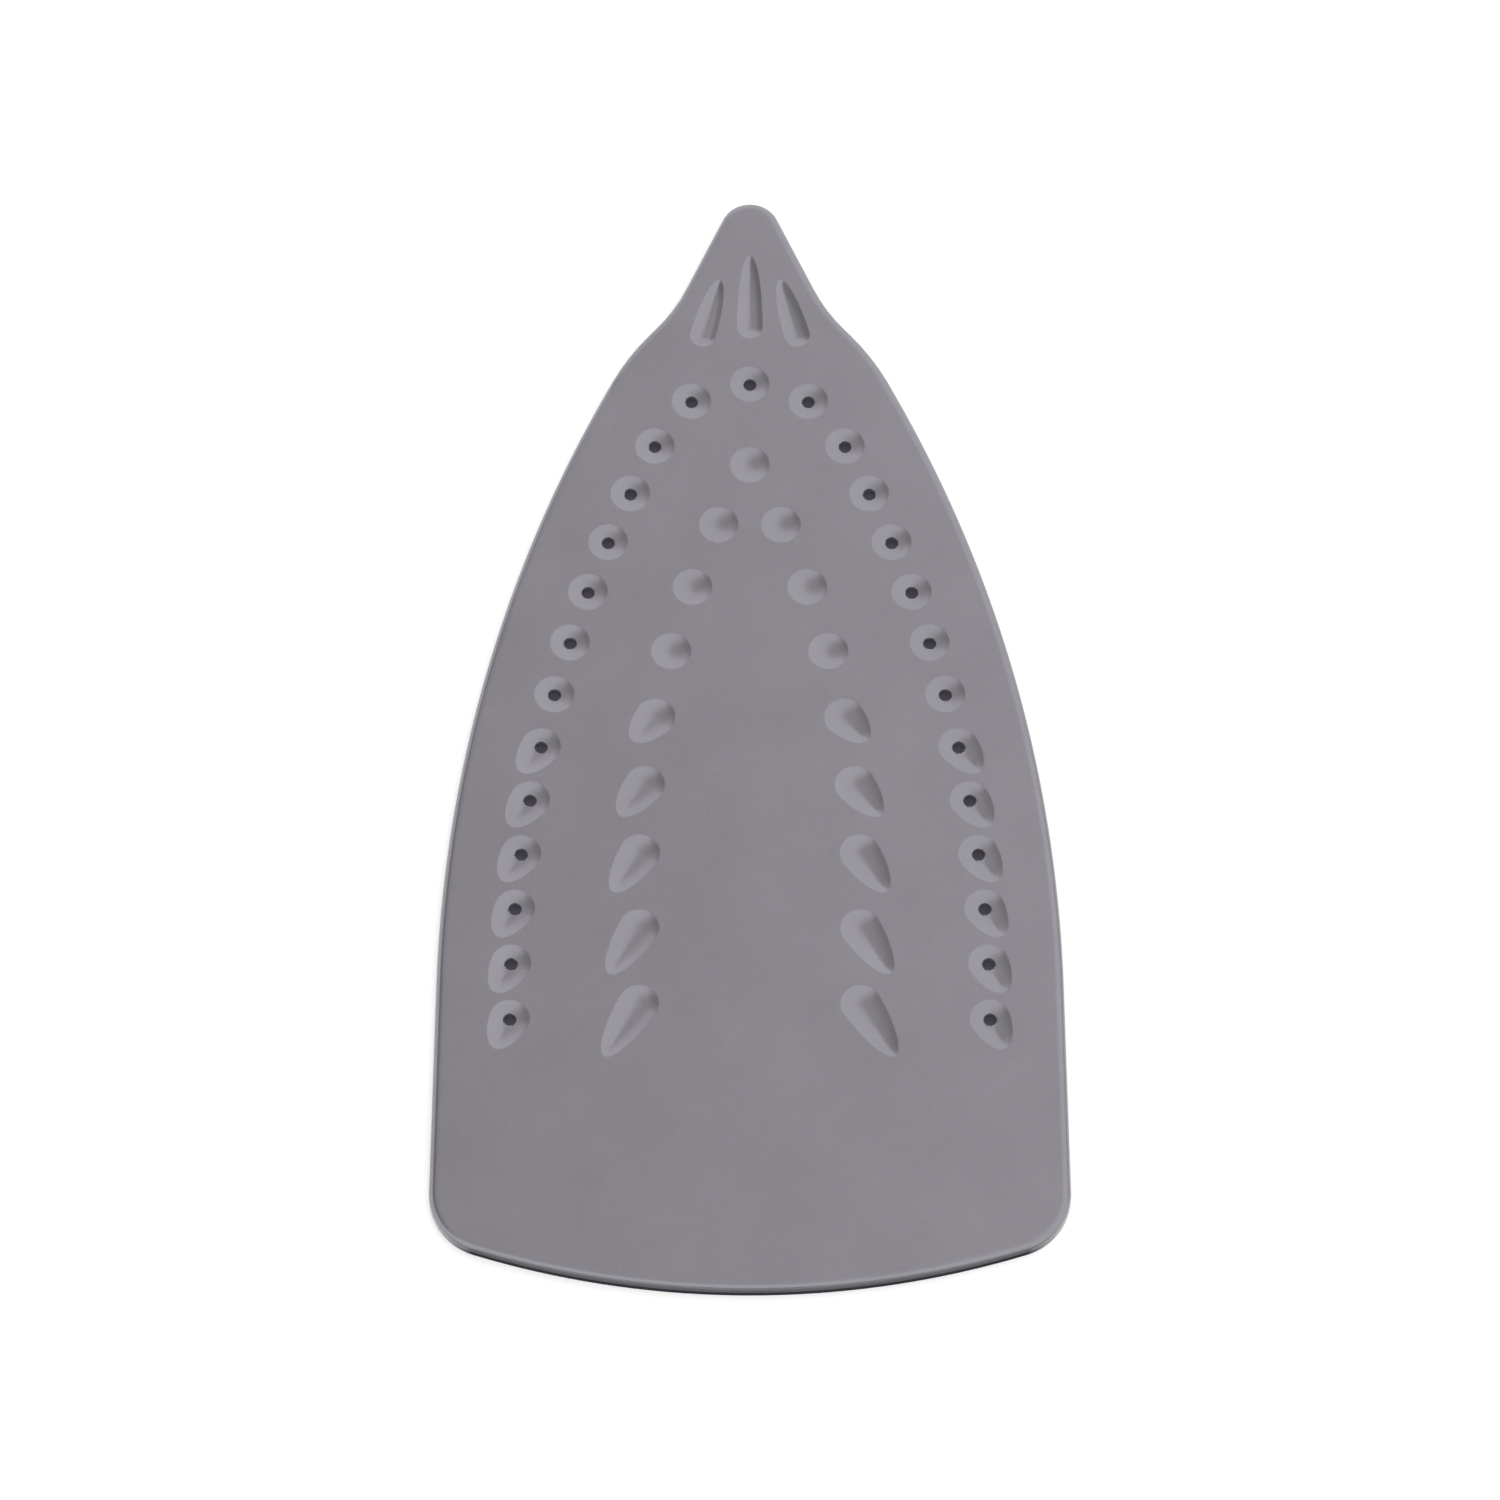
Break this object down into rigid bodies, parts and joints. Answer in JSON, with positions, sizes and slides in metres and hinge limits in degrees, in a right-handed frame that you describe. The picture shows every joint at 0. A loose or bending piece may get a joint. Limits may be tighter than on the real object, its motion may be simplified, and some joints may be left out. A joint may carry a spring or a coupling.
{
  "type": "iron soleplate",
  "caption": "Steam iron soleplate: a pointed, round-cornered pressed plate with a turned-down rim, teardrop and round recesses, and steam vents along both sides.",
  "frame": {"origin": "on the plane of the rim's lower edge, midway between tip and heel and between the two sides", "axes": "+Y to the tip of the plate, +X to its right seen from above, +Z out of the ironing face"},
  "size_m": [0.1166, 0.2224, 0.0033],
  "materials": {
    "coated_plate": "satin grey coating on pressed aluminium"
  },
  "bodies": {
    "root": {"soleplate": "coated_plate"}
  },
  "joints": []
}
